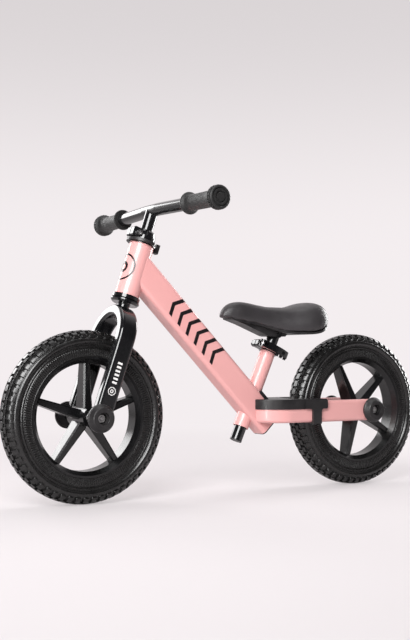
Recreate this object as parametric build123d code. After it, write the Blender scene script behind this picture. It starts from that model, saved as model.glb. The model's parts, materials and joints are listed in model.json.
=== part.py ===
"""Twelve-inch children's balance bike, written in millimetres.

+X is the riding direction, +Y the rider's left, +Z up.  The origin is on the
ground, midway between the two axles.  Every sub-part is written as its own
STEP file in parts/, already in its place in the assembled bike.
"""
import os
from math import atan2, cos, hypot, radians, sin

from build123d import *

# ---------------------------------------------------------------- sizes, mm
# overall
WHEEL_RADIUS = 145.0          # tyre tread, ground to axle
WHEELBASE = 572.0             # axle to axle
BAR_WIDTH = 431.0             # over the ends of the two grips
SLIDE_FIT = 0.05              # radial gap of the two telescoping tubes
AXLE_X = WHEELBASE / 2

# wheels
TYRE_HALF_WIDTH = 24.0
TYRE_DEPTH = 44.5             # tread to the outside of the rim lip
RIM_HALF_WIDTH = 22.0
RIM_LIP = WHEEL_RADIUS - TYRE_DEPTH
RIM_OPENING = RIM_LIP - 3.9   # inner radius of the rim at its edge
RIM_SEAT = RIM_LIP - 6.5      # radius the tyre is seated on
RIM_WALL = 4.0
SPOKE_COUNT = 5
SPOKE_AT_HUB = (17.0, 34.0)   # across the wheel plane, along the axle
SPOKE_AT_RIM = (11.0, 24.0)
SPOKE_CHAMFER = 2.5
FRONT_SPOKE_ANGLE = 90.0      # degrees of the first spoke, from +X to +Z
REAR_SPOKE_ANGLE = 66.0
HUB_RADIUS = 17.0
HUB_HALF_LENGTH = 33.0

# 8 x 22 x 7 ball bearings
AXLE_RADIUS = 4.0
BEARING_RADIUS = 11.0
BEARING_WIDTH = 7.0
INNER_RACE = 5.9
OUTER_RACE = 9.1
BALL_PITCH = 7.5
BALL_RADIUS = 1.98
GROOVE_RADIUS = 2.03
BALL_COUNT = 7

# axles and hub covers
NUT_ACROSS = 13.0
NUT_HEIGHT = 8.0
SPACER_RADIUS = 7.0
SLEEVE_RADIUS = 5.6
COVER_RADIUS = 23.5
COVER_NECK = (20.5, 3.5)      # radius and height of the step against the arm
COVER_FACE_RADIUS = 17.5
COVER_RECESS_RADIUS = 10.5
FRONT_COVER_FACE = 78.0       # distance of the outer face from the middle plane
REAR_COVER_FACE = 74.5
COVER_RECESS_DEPTH = 6.0

# steering line, heights along the steering axis from axle height
HEAD_TILT = 18.5              # degrees, top leaning back
STEER_BEHIND_AXLE = 10.5      # steering axis behind the front axle
STEER_FOOT = AXLE_X - STEER_BEHIND_AXLE
FORK_HALF_WIDTH = 60.5        # over the outer faces of the legs
LEG_THICKNESS = 20.0
LEG_WIDTH = 32.0              # fore and aft
LEG_FORWARD = 3.0             # leg middle ahead of the steering axis
LEG_CORNER = 6.0
LEG_FOOT = -12.0
TUBE_WALL = 2.0
CROWN_GAP = 30.0              # tread to the underside of the crown
CROWN_TOP = WHEEL_RADIUS + CROWN_GAP + LEG_THICKNESS
HEAD_RADIUS = 21.3
HEAD_WALL = 2.3
HEAD_BORE = HEAD_RADIUS - HEAD_WALL
HEAD_LENGTH = 93.4
HEAD_BOTTOM = CROWN_TOP + 19.8
HEAD_TOP = HEAD_BOTTOM + HEAD_LENGTH
STEM_RADIUS = 11.1
STEERER_RADIUS = STEM_RADIUS + 1.6
STEERER_TOP = HEAD_TOP + 24.8
STEM_WALL = 1.6
NECK_RADIUS = 10.5

# headset
CUP_RADIUS = HEAD_RADIUS + 2.7
CUP_HEIGHT = 8.0
CROWN_COVER_RADIUS = CUP_RADIUS + 1.0
CROWN_COVER_HEIGHT = 5.6
HEADSET_GAP = 0.4
HEAD_BALL_RADIUS = 2.0
HEAD_BALL_PITCH = HEAD_BORE - 2.9
HEAD_BALL_COUNT = 16
HEAD_RACE_HEIGHT = 6.0
UPPER_FLANGE = 1.4
STOP_RING_HEIGHT = 5.0
STOP_RING_RADIUS = CUP_RADIUS + 4.5
STOP_RING_SMALL = CUP_RADIUS - 1.2
STEER_LIMIT = 60.0            # degrees each way
STOP_BLOCK_HALF_ANGLE = 10.0
STOP_BLOCK_RADIUS = STOP_RING_RADIUS + 3.5
STOP_BLOCK_FOOT = 4.0         # welded height below the top of the head tube
STOP_BLOCK_TOP = 12.5         # above the top of the head tube

# handlebar clamp
CLAMP_BOTTOM = HEAD_TOP + 7.4
CLAMP_HEIGHT = 19.4
CLAMP_RADIUS = STEERER_RADIUS + 5.8
CLAMP_EAR_REACH = CLAMP_RADIUS + 10.5
CLAMP_EAR_HALF = 11.5
CLAMP_SLOT = 2.6
CLAMP_BOLT_AHEAD = STEERER_RADIUS + 5.5
CLAMP_BOLT_HEIGHT = CLAMP_BOTTOM + 8.9
CLAMP_BOLT_RADIUS = 3.0
CLAMP_BOLT_HEAD = (5.0, 6.0)  # radius, height
CLAMP_NUT_ACROSS = 10.0
CLAMP_NUT_HEIGHT = 5.0
SPOT_FACE_RADIUS = 6.4        # flats in the collar under the bolt head and nut

# handlebar
BAR_RADIUS = 11.1
BAR_HEIGHT = HEAD_TOP + 66.2  # bar middle along the steering axis
BAR_STRAIGHT = 22.0           # half length of the level middle
BAR_SWEEP = 7.4               # how far the ends run back
BAR_DROP = 3.9                # and down
STEM_FOOT = STEERER_TOP - 77.0
GRIP_LENGTH = 96.0
GRIP_RADIUS = BAR_RADIUS + 2.5
GRIP_FLANGE_RADIUS = 18.8
GRIP_FLANGE = 4.5
GRIP_KNOB_RADIUS = 20.4
GRIP_KNOB = 13.0
GRIP_END_WALL = 5.0

# main beam, a straight line from its foot to a point of the steering axis
BEAM_FOOT = (-AXLE_X + 204, WHEEL_RADIUS - 23)   # x and z of its lower end
BEAM_JOIN = HEAD_BOTTOM + 54.1                   # along the steering axis
BEAM_WIDTH = 40.0
BEAM_HEIGHT = 50.0
BEAM_CORNER = 8.0
PLUG_FLANGE = 2.2
PLUG_DEPTH = 12.0

# seat line
SEAT_TILT = 24.0              # degrees, top leaning back
SEAT_POINT = (-AXLE_X + 214, WHEEL_RADIUS + 76)  # on the axis, zero of its heights
POST_RADIUS = 11.1
SEAT_TUBE_BORE = POST_RADIUS + 1.6
SEAT_TUBE_RADIUS = SEAT_TUBE_BORE + 1.6
SEAT_TUBE_BOTTOM = -113.0
SEAT_TUBE_TOP = 49.0
SLEEVE_BOTTOM = -8.0
SLEEVE_FLANGE = 1.5
POST_WALL = 1.6
POST_BOTTOM = -138.0
POST_TOP = 76.0

# seat clamp with its quick-release lever
SEAT_CLAMP_BOTTOM = 35.0
SEAT_CLAMP_TOP = 49.0
SEAT_CLAMP_RADIUS = SEAT_TUBE_RADIUS + 4.0
SEAT_EAR_REACH = SEAT_CLAMP_RADIUS + 14.7
SEAT_EAR_HALF = 8.5
SEAT_SLOT = 2.4
SKEWER_AHEAD = SEAT_CLAMP_RADIUS + 8.2
SKEWER_RADIUS = 2.5
CAM_RADIUS = 6.6
CAM_OUT = 16.6                # cam axis from the middle plane
PIVOT_PIN_RADIUS = 2.0
LEVER_THICKNESS = 5.0
LEVER_TAIL = -29.0
LEVER_ARM = SEAT_CLAMP_RADIUS + 2.2          # inner side of the arm
LEVER_HOOK = 6.0              # how far the tail turns in from the arm
LEVER_HEIGHT = 13.0

# rear fork
STAY_HALF_WIDTH = 58.0
STAY_THICKNESS = 18.0
STAY_HEIGHT = 40.0
STAY_CORNER = 6.0
STAY_BEND_X = -AXLE_X + 184   # middle of the front bend
STAY_BEHIND_AXLE = 14.0
STAY_INTO_BEAM = 13.0         # the stays close onto the beam from here outwards

# footrest
DECK_THICKNESS = 3.0
DECK_OUT = 2.5                # skirt thickness outside the stays
DECK_SKIRT = 15.0
DECK_REAR = -AXLE_X + 108
DECK_MOUTH = -AXLE_X + WHEEL_RADIUS + 15         # front end of the gap for the tyre
DECK_MOUTH_HALF = 37.0
CLIP_LENGTH = 50.0
CLIP_STRAP = (-AXLE_X + 122, -AXLE_X + 141)
CLIP_THICKNESS = 2.5
CLIP_FLARE = 5.0              # hollow corners between the pad and the strap
CLIP_CORNER = 2.5
LIP = (38.0, 24.0, 2.5)       # width, length up the beam, thickness
SCREW_RADIUS = 2.5
SCREW_HEAD = (4.6, 2.6)

# saddle cross sections: distance ahead of the seat point, half width, and the
# heights of the bottom and the top above it
SADDLE_SECTIONS = (
    (91.0, 6.0, 94.5, 102.0),
    (76.0, 16.0, 91.5, 120.0),
    (52.0, 22.5, 87.5, 126.5),
    (22.0, 25.5, 82.0, 123.0),
    (-8.0, 31.0, 74.5, 118.5),
    (-38.0, 42.0, 67.5, 117.0),
    (-68.0, 55.0, 65.5, 121.5),
    (-92.0, 60.0, 67.5, 128.0),
    (-112.0, 55.0, 75.0, 127.0),
    (-126.0, 41.0, 85.0, 118.0),
    (-133.0, 20.0, 93.0, 108.0),
)
SADDLE_BASE_INSET = 5.0
SADDLE_BASE_THICKNESS = 4.0
KEEL_HALF_WIDTH = 15.5
SOCKET_HEIGHT = 62.0          # foot of the post socket above the seat point
KEEL_SIDE = (                 # outline of the keel, ahead of and above the seat point
    (74.0, 92.5), (48.0, 84.0), (-6.0, SOCKET_HEIGHT + 1), (-12.0, SOCKET_HEIGHT),
    (-44.0, SOCKET_HEIGHT), (-50.0, 69.0), (-50.0, 73.0), (-8.0, 78.0),
    (22.0, 85.5), (52.0, 91.0), (74.0, 95.0),
)

# ------------------------------------------------------- frames of reference
TILT = radians(HEAD_TILT)
STEER = Plane((STEER_FOOT, 0, WHEEL_RADIUS), x_dir=(cos(TILT), 0, sin(TILT)),
              z_dir=(-sin(TILT), 0, cos(TILT)))
LEAN = radians(SEAT_TILT)
SEAT = Plane((SEAT_POINT[0], 0, SEAT_POINT[1]), x_dir=(cos(LEAN), 0, sin(LEAN)),
             z_dir=(-sin(LEAN), 0, cos(LEAN)))
BEAM_RUN = STEER_FOOT - BEAM_JOIN * sin(TILT) - BEAM_FOOT[0]
BEAM_RISE = WHEEL_RADIUS + BEAM_JOIN * cos(TILT) - BEAM_FOOT[1]
BEAM_LENGTH = hypot(BEAM_RUN, BEAM_RISE)
SLOPE = atan2(BEAM_RISE, BEAM_RUN)
BEAM = Plane((BEAM_FOOT[0], 0, BEAM_FOOT[1]), x_dir=(sin(SLOPE), 0, -cos(SLOPE)),
             z_dir=(cos(SLOPE), 0, sin(SLOPE)))
FRONT_AXLE = Pos(AXLE_X, 0, WHEEL_RADIUS) * Rot(X=-90)
REAR_AXLE = Pos(-AXLE_X, 0, WHEEL_RADIUS) * Rot(X=-90)
FROM_BOTTOM = (Align.CENTER, Align.CENTER, Align.MIN)
FROM_CORNER = (Align.MIN, Align.CENTER, Align.MIN)


def on_steer(part):
    return STEER.location * part


def on_seat(part):
    return SEAT.location * part


def on_beam(part):
    return BEAM.location * part


# ------------------------------------------------------------- basic shapes
def rod(radius, low, high):
    return Pos(0, 0, low) * Cylinder(radius, high - low, align=FROM_BOTTOM)


def ring(outer, inner, low, high):
    return rod(outer, low, high) - rod(inner, low, high)


def across(part):
    """Turn a part built along Z so that it runs along Y."""
    return Rot(X=-90) * part


def turned(corners):
    """Solid of revolution about Z from (radius, height) corners."""
    return revolve(make_face(Plane.XZ * Polyline(*corners, close=True)), Axis.Z)


def hexagon_rod(across_flats, low, high):
    outline = RegularPolygon(across_flats / 2, 6, major_radius=False)
    return Pos(0, 0, low) * extrude(outline, high - low)


def polar(part, count):
    return [Rot(Z=360 / count * i) * part for i in range(count)]


def rounded_bar(width, height, corner, length):
    """Rounded rectangle along Z: height along X, width along Y."""
    return extrude(RectangleRounded(height, width, corner), length)


def mirrored(part):
    return mirror(part, Plane.XZ)


# ------------------------------------------------------------------- wheels
def tyre():
    half, tread = TYRE_HALF_WIDTH, WHEEL_RADIUS
    side = [(RIM_SEAT, RIM_HALF_WIDTH - 4.5), (RIM_LIP, RIM_HALF_WIDTH - 1.5),
            (RIM_LIP, RIM_HALF_WIDTH), (RIM_LIP + 1, half - 1.2),
            (tread - 31, half - 0.4), (tread - 30, half - 1.6), (tread - 23, half - 1.2),
            (tread - 21, half), (tread - 16, half), (tread - 9, half - 2.2),
            (tread - 3.5, half - 7.0), (tread - 0.7, half - 13.5), (tread, half - 20.0)]
    return turned(side + [(r, -y) for r, y in reversed(side)])


def rim_ring():
    edge = RIM_HALF_WIDTH
    side = [(RIM_SEAT - RIM_WALL, edge - 9), (RIM_OPENING, edge), (RIM_LIP, edge),
            (RIM_LIP, edge - 1.5), (RIM_SEAT, edge - 4.5)]
    return turned(side + [(r, -y) for r, y in reversed(side)])


def spoke():
    """One spoke along +X, tapering from the hub to the rim."""
    root, tip = HUB_RADIUS - 5, RIM_SEAT - RIM_WALL + 1.5
    sections = []
    for reach, (wide, deep) in ((root, SPOKE_AT_HUB), (tip, SPOKE_AT_RIM)):
        outline = chamfer(Rectangle(wide, deep).vertices(), SPOKE_CHAMFER)
        sections.append(Plane((reach, 0, 0), x_dir=(0, 1, 0), z_dir=(1, 0, 0)) * outline)
    return loft(sections)


def rim(first_angle):
    part = rod(HUB_RADIUS, -HUB_HALF_LENGTH, HUB_HALF_LENGTH) + rim_ring()
    for i in range(SPOKE_COUNT):
        part += Rot(Z=-first_angle - 360 / SPOKE_COUNT * i) * spoke()
    part -= rod(SPACER_RADIUS + 1, -HUB_HALF_LENGTH, HUB_HALF_LENGTH)
    for sign in (-1, 1):
        part -= Pos(0, 0, sign * bearing_middle()) * rod(
            BEARING_RADIUS, -BEARING_WIDTH / 2, BEARING_WIDTH / 2)
    return part


def bearing_middle():
    return HUB_HALF_LENGTH - BEARING_WIDTH / 2


def both_bearings(part):
    return [Pos(0, 0, sign * bearing_middle()) * part for sign in (-1, 1)]


def race_groove():
    return Torus(BALL_PITCH, GROOVE_RADIUS)


def outer_races():
    half = BEARING_WIDTH / 2
    return both_bearings(ring(BEARING_RADIUS, OUTER_RACE, -half, half) - race_groove())


def inner_races():
    half = BEARING_WIDTH / 2
    return both_bearings(ring(INNER_RACE, AXLE_RADIUS, -half, half) - race_groove())


def balls():
    """The balls sit against the outer races and clear the inner ones."""
    out = BALL_PITCH + GROOVE_RADIUS - BALL_RADIUS
    one_row = polar(Pos(out, 0, 0) * Sphere(BALL_RADIUS), BALL_COUNT)
    return [b for ball in one_row for b in both_bearings(ball)]


# --------------------------------------------------------- axles and covers
def axle(arm_face):
    """Axle rod reaching through both arms into the nuts."""
    reach = arm_face + NUT_HEIGHT + 0.8
    rounded = rod(AXLE_RADIUS, -reach, reach)
    return chamfer(rounded.edges().filter_by(GeomType.CIRCLE), 0.8)


def axle_spacers(arm_inside):
    inner = HUB_HALF_LENGTH - BEARING_WIDTH
    sleeve = ring(SLEEVE_RADIUS, AXLE_RADIUS, -inner, inner)
    outer = ring(INNER_RACE, AXLE_RADIUS, HUB_HALF_LENGTH, HUB_HALF_LENGTH + 1)
    outer += ring(SPACER_RADIUS, AXLE_RADIUS, HUB_HALF_LENGTH + 1, arm_inside)
    return [sleeve, outer, Rot(X=180) * outer]


def axle_nuts(arm_face):
    nut = hexagon_rod(NUT_ACROSS, arm_face, arm_face + NUT_HEIGHT)
    nut &= turned([(0, arm_face), (NUT_ACROSS * 0.6, arm_face),
                   (NUT_ACROSS * 0.6, arm_face + NUT_HEIGHT - 1.4),
                   (NUT_ACROSS * 0.46, arm_face + NUT_HEIGHT), (0, arm_face + NUT_HEIGHT)])
    nut -= rod(AXLE_RADIUS, arm_face, arm_face + NUT_HEIGHT)
    return [nut, Rot(X=180) * nut]


def hub_cover(arm_face, outer_face):
    """Round cover on the outside of one arm, recessed around the nut."""
    neck, step = COVER_NECK
    body = turned([(0, arm_face), (neck, arm_face), (neck, arm_face + step),
                   (COVER_RADIUS - 1.0, arm_face + step), (COVER_RADIUS, arm_face + step + 1.0),
                   (COVER_RADIUS, arm_face + step + 4.0), (COVER_RADIUS - 1.2, arm_face + step + 5.4),
                   (COVER_FACE_RADIUS + 0.8, outer_face - 0.8),
                   (COVER_FACE_RADIUS, outer_face), (0, outer_face)])
    body -= rod(COVER_RECESS_RADIUS, outer_face - COVER_RECESS_DEPTH, outer_face)
    body -= rod(NUT_ACROSS * 0.64, arm_face, outer_face)
    return body


# --------------------------------------------------------------- front fork
def u_outline(half_width, top, foot):
    """Filled arch in the (lateral, height) plane."""
    outline = Pos(0, top - half_width) * Circle(half_width)
    return outline + Pos(0, foot) * Rectangle(2 * half_width, top - half_width - foot,
                                              align=(Align.CENTER, Align.MIN))


def arch(outer, top, foot, inner, inner_foot, thickness):
    """Arched bar standing in the YZ plane, its middle at X = 0."""
    outline = u_outline(outer, top, foot) - u_outline(inner, top - outer + inner, inner_foot)
    return Pos(-thickness / 2, 0, 0) * extrude(Plane.YZ * outline, thickness)


def long_edges(part, half, axis):
    """Edges lying in the two flat faces that bound a part across one axis."""
    return [e for e in part.edges()
            if abs(abs(getattr(e.center(), axis)) - half) < 1e-3]


def fork_legs():
    """Arched fork: both legs and the crown are one bent tube."""
    outer = FORK_HALF_WIDTH
    inner = outer - LEG_THICKNESS
    solid = arch(outer, CROWN_TOP, LEG_FOOT, inner, LEG_FOOT - 5, LEG_WIDTH)
    solid = fillet(long_edges(solid, LEG_WIDTH / 2, "X"), LEG_CORNER)
    hollow = arch(outer - TUBE_WALL, CROWN_TOP - TUBE_WALL, LEG_FOOT + 3,
                  inner + TUBE_WALL, LEG_FOOT - 5, LEG_WIDTH - 2 * TUBE_WALL)
    hollow = fillet(long_edges(hollow, LEG_WIDTH / 2 - TUBE_WALL, "X"),
                    LEG_CORNER - TUBE_WALL)
    floor = Pos(0, 0, LEG_FOOT) * Box(LEG_WIDTH, 2 * outer, 3, align=FROM_BOTTOM)
    part = Pos(LEG_FORWARD, 0, 0) * (solid - (hollow - floor))
    part -= rod(NECK_RADIUS, CROWN_TOP - LEG_THICKNESS - 1, CROWN_TOP + 10)
    part = on_steer(part)
    return part - FRONT_AXLE * rod(AXLE_RADIUS, -outer - 5, outer + 5)


def steerer():
    """Steering tube: necked below the headset, slotted where it is clamped."""
    crown_low = CROWN_TOP - LEG_THICKNESS
    shoulder = HEAD_BOTTOM - CUP_HEIGHT - HEADSET_GAP - CROWN_COVER_HEIGHT
    bore = STEM_RADIUS + SLIDE_FIT
    part = rod(NECK_RADIUS, crown_low, shoulder) + rod(STEERER_RADIUS, shoulder, STEERER_TOP)
    part -= rod(bore, shoulder + 4, STEERER_TOP)
    part -= rod(4.2, crown_low, shoulder + 4)
    slot = Box(STEERER_RADIUS + 4, CLAMP_SLOT, 30, align=FROM_CORNER)
    return on_steer(part - Pos(bore - 3, 0, STEERER_TOP - 30) * slot)


def crown_bolt():
    """Bolt under the crown that closes the foot of the steering tube."""
    low = CROWN_TOP - LEG_THICKNESS
    return on_steer(hexagon_rod(NUT_ACROSS, low - 6, low) + rod(4.2, low, low + 14))


# ------------------------------------------------------------------ headset
def cup(sign, flange_height):
    """Bearing cup pressed into one end of the head tube; flange outside."""
    deep = 9.0
    bore = race_outer()
    shell = [(bore, 0), (bore, deep), (HEAD_BORE, deep), (HEAD_BORE, 0)]
    flange = [(CUP_RADIUS, 0), (CUP_RADIUS, -flange_height + 2),
              (CUP_RADIUS - 2.5, -flange_height), (bore, -flange_height)]
    if sign > 0:
        flange = [(CUP_RADIUS, 0), (CUP_RADIUS, -flange_height), (bore, -flange_height)]
    part = turned(shell + flange)
    return part if sign < 0 else Rot(X=180) * part


def race_outer():
    return HEAD_BALL_PITCH + HEAD_BALL_RADIUS + 0.4


def lower_cup():
    return on_steer(Pos(0, 0, HEAD_BOTTOM) * cup(-1, CUP_HEIGHT))


def upper_cup():
    return on_steer(Pos(0, 0, HEAD_TOP) * cup(1, UPPER_FLANGE))


def headset_levels():
    """Middle heights of the two headset bearings."""
    return (HEAD_BOTTOM - CUP_HEIGHT + HEAD_RACE_HEIGHT / 2 + 1.0, HEAD_TOP - 4.0)


def headset_cones():
    half = HEAD_RACE_HEIGHT / 2
    cone = ring(HEAD_BALL_PITCH - 1.0, STEERER_RADIUS, -half, half)
    cone -= Torus(HEAD_BALL_PITCH, HEAD_BALL_RADIUS + SLIDE_FIT)
    low, high = headset_levels()
    cover_top = HEAD_BOTTOM - CUP_HEIGHT - HEADSET_GAP
    foot = ring(HEAD_BALL_PITCH - 1.0, STEERER_RADIUS, cover_top, low - half)
    ring_low = HEAD_TOP + UPPER_FLANGE + HEADSET_GAP
    collar = ring(HEAD_BALL_PITCH - 1.0, STEERER_RADIUS, high + half, ring_low)
    return [on_steer(foot + Pos(0, 0, low) * cone),
            on_steer(collar + Pos(0, 0, high) * cone)]


def headset_balls():
    """Balls resting against the cups, clear of the cones."""
    out = race_outer() - HEAD_BALL_RADIUS
    row = polar(Pos(out, 0, 0) * Sphere(HEAD_BALL_RADIUS), HEAD_BALL_COUNT)
    return [on_steer(Pos(0, 0, level) * ball)
            for level in headset_levels() for ball in row]


def crown_cover():
    """Stepped cover on the shoulder of the steering tube."""
    top = HEAD_BOTTOM - CUP_HEIGHT - HEADSET_GAP
    low = top - CROWN_COVER_HEIGHT
    part = turned([(STEERER_RADIUS, top), (CROWN_COVER_RADIUS, top),
                   (CROWN_COVER_RADIUS, top - 2.0), (CROWN_COVER_RADIUS - 2.5, low + 0.6),
                   (CROWN_COVER_RADIUS - 3.5, low), (STEERER_RADIUS, low)])
    return on_steer(part)


def stop_ring():
    """Ring turning with the fork; its wide part meets the stop block."""
    low = HEAD_TOP + UPPER_FLANGE + HEADSET_GAP
    part = ring(STOP_RING_RADIUS, STEERER_RADIUS, low, low + STOP_RING_HEIGHT)
    gap = STEER_LIMIT + STOP_BLOCK_HALF_ANGLE
    cut = sector(STOP_RING_RADIUS + 5, gap) - Circle(STOP_RING_SMALL)
    return on_steer(part - Pos(0, 0, low) * extrude(cut, STOP_RING_HEIGHT))


def sector(radius, half_angle):
    """Pie slice opening towards the rear (-X)."""
    a = radians(half_angle)
    far = radius * 1.6
    corners = [(0, 0), (-far * cos(a), far * sin(a)), (-far * 1.6, far * sin(a)),
               (-far * 1.6, -far * sin(a)), (-far * cos(a), -far * sin(a))]
    return make_face(Polyline(*corners, close=True)) & Circle(radius)


def stop_block():
    """Lug on the back of the head tube that limits the steering."""
    slice_ = sector(STOP_BLOCK_RADIUS, STOP_BLOCK_HALF_ANGLE)
    foot = slice_ - Circle(HEAD_RADIUS)
    finger = slice_ - Circle(CUP_RADIUS + 0.6)
    part = Pos(0, 0, HEAD_TOP - STOP_BLOCK_FOOT) * extrude(foot, STOP_BLOCK_FOOT)
    part += Pos(0, 0, HEAD_TOP) * extrude(finger, STOP_BLOCK_TOP)
    return on_steer(part)


# ----------------------------------------------------------- handlebar clamp
def bar_clamp():
    """Split collar around the steering tube with two ears in front."""
    body = turned([(0, 0), (CLAMP_RADIUS + 1.2, 0), (CLAMP_RADIUS + 1.2, 8.5),
                   (CLAMP_RADIUS - 1.0, CLAMP_HEIGHT - 3.5),
                   (CLAMP_RADIUS - 4.0, CLAMP_HEIGHT), (0, CLAMP_HEIGHT)])
    ears = Box(CLAMP_EAR_REACH, 2 * CLAMP_EAR_HALF, CLAMP_HEIGHT - 2, align=FROM_CORNER)
    ears = fillet(ears.edges().filter_by(Axis.Y).group_by(Axis.X)[-1], 4)
    part = body + Pos(0, 0, 1) * ears
    part = Pos(0, 0, CLAMP_BOTTOM) * part - rod(STEERER_RADIUS, CLAMP_BOTTOM, STEERER_TOP)
    part -= rod(STEM_RADIUS + 0.5, STEERER_TOP, CLAMP_BOTTOM + CLAMP_HEIGHT)
    part -= Pos(0, 0, CLAMP_BOTTOM) * Box(CLAMP_EAR_REACH + 5, CLAMP_SLOT, CLAMP_HEIGHT,
                                          align=FROM_CORNER)
    seats = rod(CLAMP_BOLT_RADIUS, -30, 30)
    for side in (0, 180):
        seats += Rot(X=side) * rod(SPOT_FACE_RADIUS, CLAMP_EAR_HALF, 30)
    return on_steer(part - bar_bolt_place(across(seats)))


def bar_bolt_place(part):
    return Pos(CLAMP_BOLT_AHEAD, 0, CLAMP_BOLT_HEIGHT) * part


def bar_bolt():
    """Socket-head bolt, its head on the rider's left."""
    head_radius, head_height = CLAMP_BOLT_HEAD
    part = rod(CLAMP_BOLT_RADIUS, -CLAMP_EAR_HALF - CLAMP_NUT_HEIGHT - 4, CLAMP_EAR_HALF)
    part += rod(head_radius, CLAMP_EAR_HALF, CLAMP_EAR_HALF + head_height)
    part -= hexagon_rod(5.0, CLAMP_EAR_HALF + head_height - 3.5, CLAMP_EAR_HALF + head_height)
    return on_steer(bar_bolt_place(across(part)))


def bar_nut():
    part = hexagon_rod(CLAMP_NUT_ACROSS, -CLAMP_EAR_HALF - CLAMP_NUT_HEIGHT, -CLAMP_EAR_HALF)
    part -= rod(CLAMP_BOLT_RADIUS, -30, 0)
    return on_steer(bar_bolt_place(across(part)))


# ---------------------------------------------------------------- handlebar
def bar_middle():
    return STEER.location * Pos(0, 0, BAR_HEIGHT)


def bar_end(distance):
    """Bar centre line at a distance from the middle plane, rider's left."""
    middle = bar_middle().position
    share = (distance - BAR_STRAIGHT) / (BAR_WIDTH / 2 - BAR_STRAIGHT)
    return Vector(middle.X - BAR_SWEEP * share, distance, middle.Z - BAR_DROP * share)


def bar_line(reach):
    left_bend, left_end = bar_end(BAR_STRAIGHT), bar_end(reach)
    points = [left_end, left_bend, mirror_point(left_bend), mirror_point(left_end)]
    return FilletPolyline(*points, radius=90)


def mirror_point(point):
    return Vector(point.X, -point.Y, point.Z)


def bar_rod(radius, reach):
    line = bar_line(reach)
    return sweep(Plane(line @ 0, z_dir=line % 0) * Circle(radius), path=line)


def crossbar():
    reach = BAR_WIDTH / 2 - GRIP_END_WALL
    return bar_rod(BAR_RADIUS, reach) - bar_rod(BAR_RADIUS - STEM_WALL, reach)


def stem():
    """Upright tube, coped onto the crossbar, sliding in the steering tube."""
    part = ring(STEM_RADIUS, STEM_RADIUS - STEM_WALL, STEM_FOOT, BAR_HEIGHT)
    return on_steer(part) - bar_rod(BAR_RADIUS, BAR_STRAIGHT + 40)


def grip():
    """Left grip: inner flange, ribbed barrel and a round knob at the end."""
    start, end = bar_end(BAR_WIDTH / 2 - GRIP_LENGTH), bar_end(BAR_WIDTH / 2)
    length = (end - start).length
    profile = [(0, 0), (GRIP_FLANGE_RADIUS - 1, 0), (GRIP_FLANGE_RADIUS, 1),
               (GRIP_FLANGE_RADIUS, GRIP_FLANGE - 1), (GRIP_FLANGE_RADIUS - 1.5, GRIP_FLANGE),
               (GRIP_RADIUS + 1.2, GRIP_FLANGE + 2), (GRIP_RADIUS, GRIP_FLANGE + 6)]
    knob = length - GRIP_KNOB
    profile += [(GRIP_RADIUS + 0.6, knob - 8), (GRIP_RADIUS + 2.4, knob - 3),
                (GRIP_KNOB_RADIUS - 1.5, knob), (GRIP_KNOB_RADIUS, knob + 2),
                (GRIP_KNOB_RADIUS, length - 5), (GRIP_KNOB_RADIUS - 1.6, length - 1.8),
                (GRIP_KNOB_RADIUS - 4.5, length), (0, length)]
    part = turned(profile) - rod(BAR_RADIUS, 0, length - GRIP_END_WALL)
    return Plane(start, z_dir=end - start).location * part


# -------------------------------------------------------------------- frame
def head_tube():
    return on_steer(ring(HEAD_RADIUS, HEAD_BORE, HEAD_BOTTOM, HEAD_TOP))


def beam_envelope(low=0.0):
    bar = rounded_bar(BEAM_WIDTH, BEAM_HEIGHT, BEAM_CORNER, BEAM_LENGTH - low)
    return on_beam(Pos(0, 0, low) * bar)


def seat_tube_envelope():
    return on_seat(rod(SEAT_TUBE_RADIUS, SEAT_TUBE_BOTTOM, SEAT_TUBE_TOP))


def main_beam():
    """Rectangular tube coped onto the head tube and pierced by the seat tube."""
    inside = rounded_bar(BEAM_WIDTH - 2 * TUBE_WALL, BEAM_HEIGHT - 2 * TUBE_WALL,
                         BEAM_CORNER - TUBE_WALL, BEAM_LENGTH)
    part = beam_envelope() - on_beam(inside)
    part -= on_steer(rod(HEAD_RADIUS, HEAD_BOTTOM - 40, HEAD_TOP + 40))
    part -= on_steer(Pos(0, 0, HEAD_BOTTOM) * Box(60, 80, 120, align=FROM_CORNER))
    return part - seat_tube_envelope()


def beam_plug():
    """Plastic plug closing the lower end of the beam."""
    flange = Pos(0, 0, -PLUG_FLANGE) * rounded_bar(BEAM_WIDTH - 1, BEAM_HEIGHT - 1,
                                                   BEAM_CORNER - 0.5, PLUG_FLANGE)
    fit = rounded_bar(BEAM_WIDTH - 2 * TUBE_WALL, BEAM_HEIGHT - 2 * TUBE_WALL,
                      BEAM_CORNER - TUBE_WALL, PLUG_DEPTH)
    hollow = rounded_bar(BEAM_WIDTH - 2 * TUBE_WALL - 5, BEAM_HEIGHT - 2 * TUBE_WALL - 5,
                         BEAM_CORNER - TUBE_WALL - 2, PLUG_DEPTH)
    return on_beam(flange + (fit - hollow)) - seat_tube_envelope()


def seat_tube():
    part = ring(SEAT_TUBE_RADIUS, SEAT_TUBE_BORE, SEAT_TUBE_BOTTOM, SEAT_TUBE_TOP)
    slot = Pos(SEAT_TUBE_BORE - 3, 0, SEAT_CLAMP_BOTTOM - 12) * Box(
        8, SEAT_SLOT, 60, align=FROM_CORNER)
    return on_seat(part - slot)


def stay_outline(grow=0.0, rear=None):
    """Filled plan of the rear fork: round in front, straight to the rear."""
    end = -AXLE_X - STAY_BEHIND_AXLE if rear is None else rear
    radius = STAY_HALF_WIDTH + grow
    outline = Pos(STAY_BEND_X, 0) * Circle(radius)
    return outline + Pos(end, 0) * Rectangle(STAY_BEND_X - end, 2 * radius,
                                             align=(Align.MIN, Align.CENTER))


def stay_bend(shrink, thickness_less, height):
    outer = stay_outline(-shrink)
    inner = stay_outline(thickness_less + shrink - STAY_THICKNESS, rear=-2 * AXLE_X)
    part = extrude(outer - inner, height)
    return Pos(0, 0, -height / 2) * part


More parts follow.
